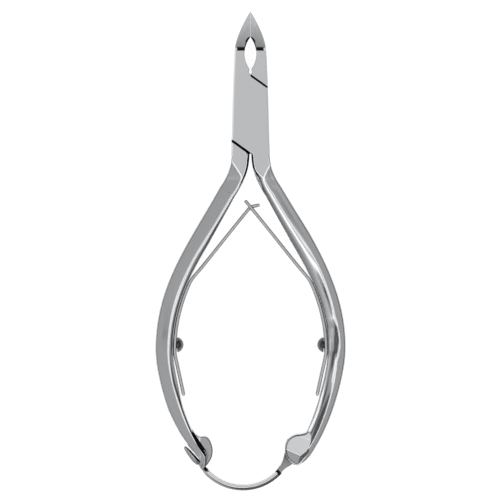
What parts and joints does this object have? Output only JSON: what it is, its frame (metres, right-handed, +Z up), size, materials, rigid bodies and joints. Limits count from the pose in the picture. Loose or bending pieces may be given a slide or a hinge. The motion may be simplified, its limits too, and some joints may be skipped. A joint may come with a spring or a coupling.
{
  "type": "cuticle nipper",
  "caption": "Lap-joint cuticle nipper with pointed cutting jaws, crossed leaf springs and a swinging latch that holds the handles closed.",
  "frame": {"origin": "on the pivot axis, at the flush rivet head in the underside of the head, which is in the plane the tool lies on", "axes": "+Y towards the jaw tips, +X towards the handle that carries the latch hinge, +Z up through the head along the pivot axis"},
  "size_m": [0.0476, 0.1197, 0.0056],
  "materials": {
    "satin_steel": "stainless steel, satin ground head and polished handles",
    "polished_steel": "polished stainless steel",
    "spring_steel": "rolled spring steel strip, lightly polished",
    "screw_steel": "darker turned steel"
  },
  "bodies": {
    "front_half": {"front_half": "satin_steel", "pivot_rivet": "satin_steel", "right_spring": "spring_steel", "right_spring_screw": "screw_steel", "latch_pin": "polished_steel"},
    "back_half": {"back_half": "satin_steel", "left_spring": "spring_steel", "left_spring_screw": "screw_steel"},
    "latch": {"latch_bar": "polished_steel"}
  },
  "joints": [
    {"name": "jaw_pivot", "type": "hinge", "parent": "front_half", "child": "back_half", "pos_m": [0, 0, 0], "axis": [0, 0, -1], "range_deg": [0, 12], "deforming": ["left_spring", "right_spring"]},
    {"name": "latch_swing", "type": "hinge", "parent": "front_half", "child": "latch", "pos_m": [0.0122, -0.0839, 0], "axis": [0, 0, 1], "range_deg": [0, 120]}
  ],
  "couplings": [
    {"joint": "latch_swing", "follows": "jaw_pivot", "ratio": 10}
  ]
}
